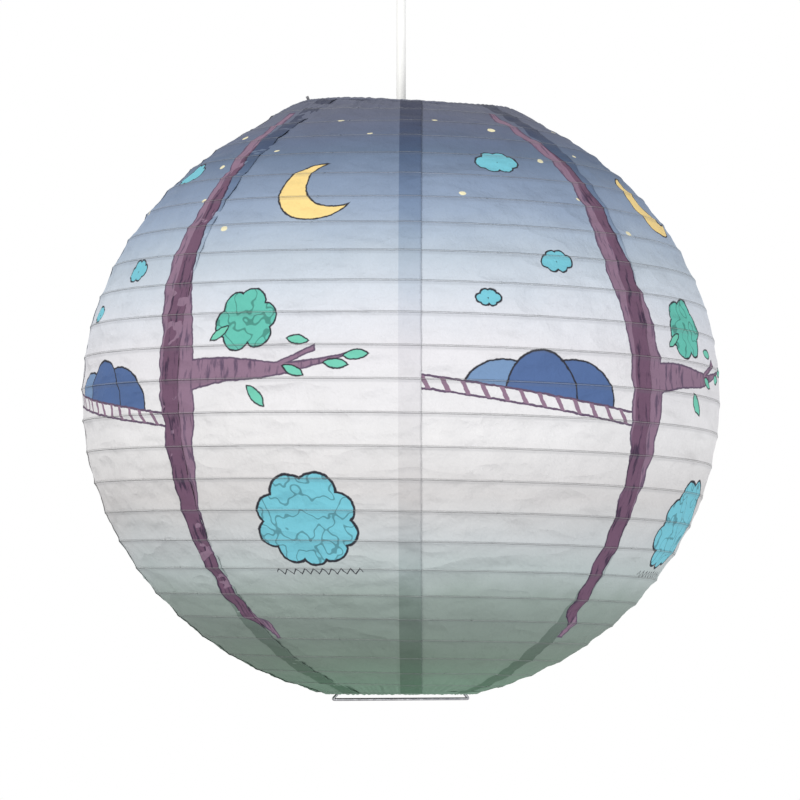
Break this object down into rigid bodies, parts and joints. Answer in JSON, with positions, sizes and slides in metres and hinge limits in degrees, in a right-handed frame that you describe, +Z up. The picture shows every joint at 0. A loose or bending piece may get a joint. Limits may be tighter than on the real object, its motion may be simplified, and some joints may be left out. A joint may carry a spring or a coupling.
{
  "type": "paper lantern pendant",
  "caption": "Round paper pendant lantern on a spiral rib, stretched by a sprung wire frame, with a corded screw lampholder and a ceiling cup.",
  "frame": {"origin": "centre of the ceiling plate's top face, which lies against the ceiling", "axes": "+Z up along the hanging cord; +X along the wire frame's cross bar; -Y towards the front"},
  "size_m": [0.4, 0.4, 0.5038],
  "materials": {
    "paper": "matt crinkled tissue, tinted from dusk violet through pale blue to sage",
    "spring_wire": "bright drawn wire",
    "rib_wire": "thin drawn wire",
    "cord_sheath": "white sheath",
    "cores": "coloured core insulation",
    "holder_plastic": "moulded white",
    "carrier_ceramic": "unglazed steatite",
    "contact_brass": "bright stamped brass",
    "cup_paint": "satin white",
    "plate_steel": "zinc plated",
    "screw_chrome": "bright plated",
    "block_plastic": "natural",
    "bulb_opal": "opal white",
    "bulb_plastic": "white",
    "bulb_metal": "rolled screw base",
    "bulb_bead": "black"
  },
  "bodies": {
    "root": {"ceiling_plate": "plate_steel", "terminal_block": "block_plastic", "terminal_screws": "plate_steel", "ceiling_cup": "cup_paint", "cord_grip": "holder_plastic", "grip_nut": "holder_plastic", "ceiling_cores": "cores"},
    "screw_left": {"cup_screw_left": "screw_chrome"},
    "screw_right": {"cup_screw_right": "screw_chrome"},
    "cord": {"pendant_cord": "cord_sheath"},
    "lamp": {"holder_cores": "cores", "holder_cap": "holder_plastic", "clamp_screw": "screw_chrome", "holder_terminals": "contact_brass", "contact_carrier": "carrier_ceramic", "screw_shell": "contact_brass", "centre_contact": "contact_brass", "holder_body": "holder_plastic", "frame_loop": "spring_wire", "frame_arm": "spring_wire", "bottom_ring": "rib_wire", "bottom_hem": "paper", "spiral_rib": "rib_wire", "paper_gore_1": "paper", "paper_gore_2": "paper", "paper_gore_3": "paper", "paper_gore_4": "paper", "paper_gore_5": "paper", "paper_gore_6": "paper", "paper_gore_7": "paper", "paper_gore_8": "paper"},
    "nut": {"shade_nut": "holder_plastic"},
    "bulb": {"bulb_tip": "bulb_metal", "bulb_insulator": "bulb_bead", "bulb_cap": "bulb_metal", "bulb_collar": "bulb_plastic", "bulb_globe": "bulb_opal"},
    "top_hoop": {"top_ring": "rib_wire", "top_hem": "paper"}
  },
  "joints": [
    {"name": "cord_swing", "type": "hinge", "parent": "root", "child": "cord", "pos_m": [0, 0, -0.046], "axis": [0, 1, 0], "range_deg": [-10, 10]},
    {"name": "cord_twist", "type": "hinge", "parent": "cord", "child": "lamp", "pos_m": [0, 0, -0.16], "axis": [0, 0, 1], "range_deg": [-90, 90]},
    {"name": "shade_drop", "type": "slide", "parent": "lamp", "child": "top_hoop", "axis": [0, 0, -1], "range_m": [0, 0.33037], "deforming": ["paper_gore_1", "paper_gore_2", "paper_gore_3", "paper_gore_4", "paper_gore_5", "paper_gore_6", "paper_gore_7", "paper_gore_8", "spiral_rib", "frame_loop"]},
    {"name": "nut_run", "type": "slide", "parent": "lamp", "child": "nut", "axis": [0, 0, -1], "range_m": [0, 0.024]},
    {"name": "bulb_out", "type": "slide", "parent": "lamp", "child": "bulb", "axis": [0, 0, -1], "range_m": [0, 0.03]},
    {"name": "left_screw_out", "type": "slide", "parent": "root", "child": "screw_left", "axis": [-1, 0, 0], "range_m": [0, 0.01]},
    {"name": "right_screw_out", "type": "slide", "parent": "root", "child": "screw_right", "axis": [1, 0, 0], "range_m": [0, 0.01]}
  ]
}
